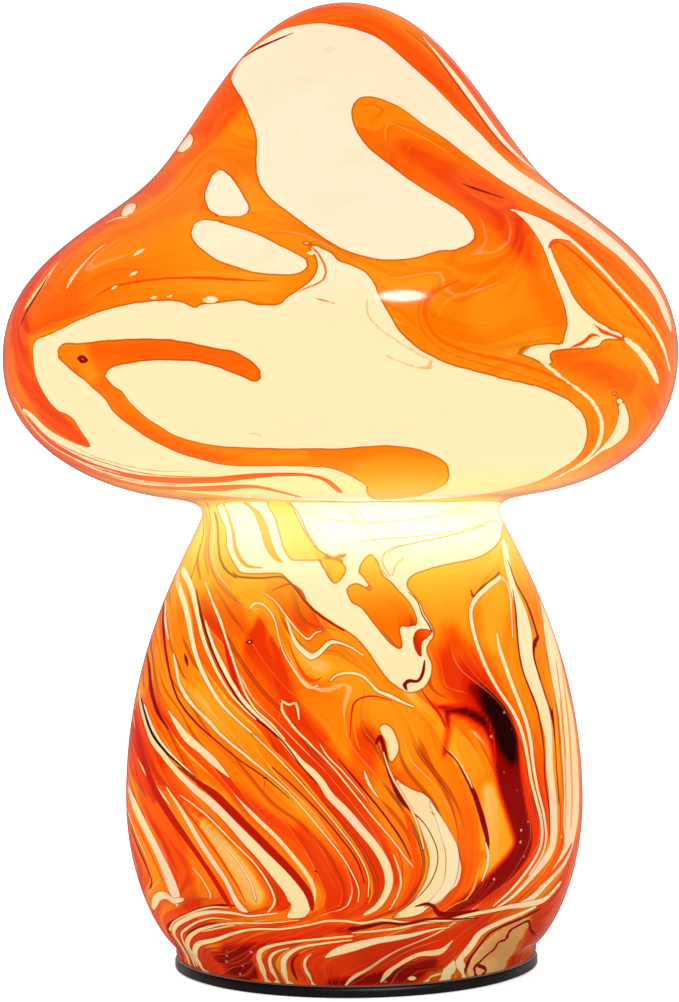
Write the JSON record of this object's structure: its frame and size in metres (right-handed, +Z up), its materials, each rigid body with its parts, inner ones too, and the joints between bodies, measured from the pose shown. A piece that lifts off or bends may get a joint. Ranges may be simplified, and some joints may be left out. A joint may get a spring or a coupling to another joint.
{
  "type": "mushroom table lamp",
  "caption": "Mushroom-shaped table lamp: one-piece marbled blown-glass cap and stem that lifts off a thin black base with a screw bulb holder and a round bulb inside.",
  "frame": {"origin": "centre of the underside of the foot, on the table", "axes": "+Z up along the lamp's axis of revolution; +Y towards the back, where the cord slot is; +X to the right"},
  "size_m": [0.1748, 0.1748, 0.25],
  "materials": {
    "marbled_glass": "glossy blown opal glass, orange and cream marbling",
    "black_steel": "semi-gloss black powder coat",
    "foot_foam": "matt closed-cell foam rubber",
    "silicone": "translucent soft silicone",
    "zinc_steel": "bright zinc plate",
    "spring_steel": "blued spring strip",
    "brass": "bright drawn brass",
    "white_thermoplastic": "moulded, slight gloss",
    "black_thermoplastic": "moulded, matt",
    "nickel": "nickel plate",
    "black_vitrite": "black glass insulator",
    "opal_plastic": "satin opal diffuser",
    "board_aluminium": "white-masked aluminium board"
  },
  "bodies": {
    "base": {"base_pan": "black_steel", "foot_ring": "foot_foam", "threaded_tube": "zinc_steel", "upper_washer": "zinc_steel", "lower_washer": "zinc_steel", "lock_nut": "zinc_steel", "wire_bushing": "black_thermoplastic", "riser_sleeve": "zinc_steel", "clip_rivets": "zinc_steel", "spring_clip_1": "spring_steel", "spring_clip_2": "spring_steel", "spring_clip_3": "spring_steel", "holder_cap": "black_thermoplastic", "holder_lock_screw": "zinc_steel", "holder_core": "white_thermoplastic", "terminal_screws": "brass", "holder_skirt": "black_thermoplastic", "screw_sleeve": "brass", "centre_contact": "brass"},
    "lip_ring": {"lip_ring": "silicone"},
    "glass": {"glass_shade": "marbled_glass"},
    "bulb_contact": {"bulb_tip": "nickel", "bulb_insulator": "black_vitrite"},
    "bulb": {"bulb_screw_cap": "nickel", "bulb_housing": "white_thermoplastic", "bulb_led_board": "board_aluminium", "bulb_dome": "opal_plastic"}
  },
  "joints": [
    {"name": "glass_lift", "type": "slide", "parent": "base", "child": "lip_ring", "axis": [0, 0, 1], "range_m": [0, 0.15]},
    {"name": "glass_turn", "type": "hinge", "parent": "lip_ring", "child": "glass", "pos_m": [0, 0, 0.0031], "axis": [0, 0, 1], "continuous": true},
    {"name": "bulb_rise", "type": "slide", "parent": "base", "child": "bulb_contact", "axis": [0, 0, 1], "range_m": [0, 0.0141]},
    {"name": "bulb_turn", "type": "hinge", "parent": "bulb_contact", "child": "bulb", "pos_m": [0, 0, 0.0604], "axis": [0, 0, 1], "range_deg": [0, 1800]}
  ],
  "couplings": [
    {"joint": "bulb_rise", "follows": "bulb_turn", "m_per_rad": 0.0004488}
  ]
}
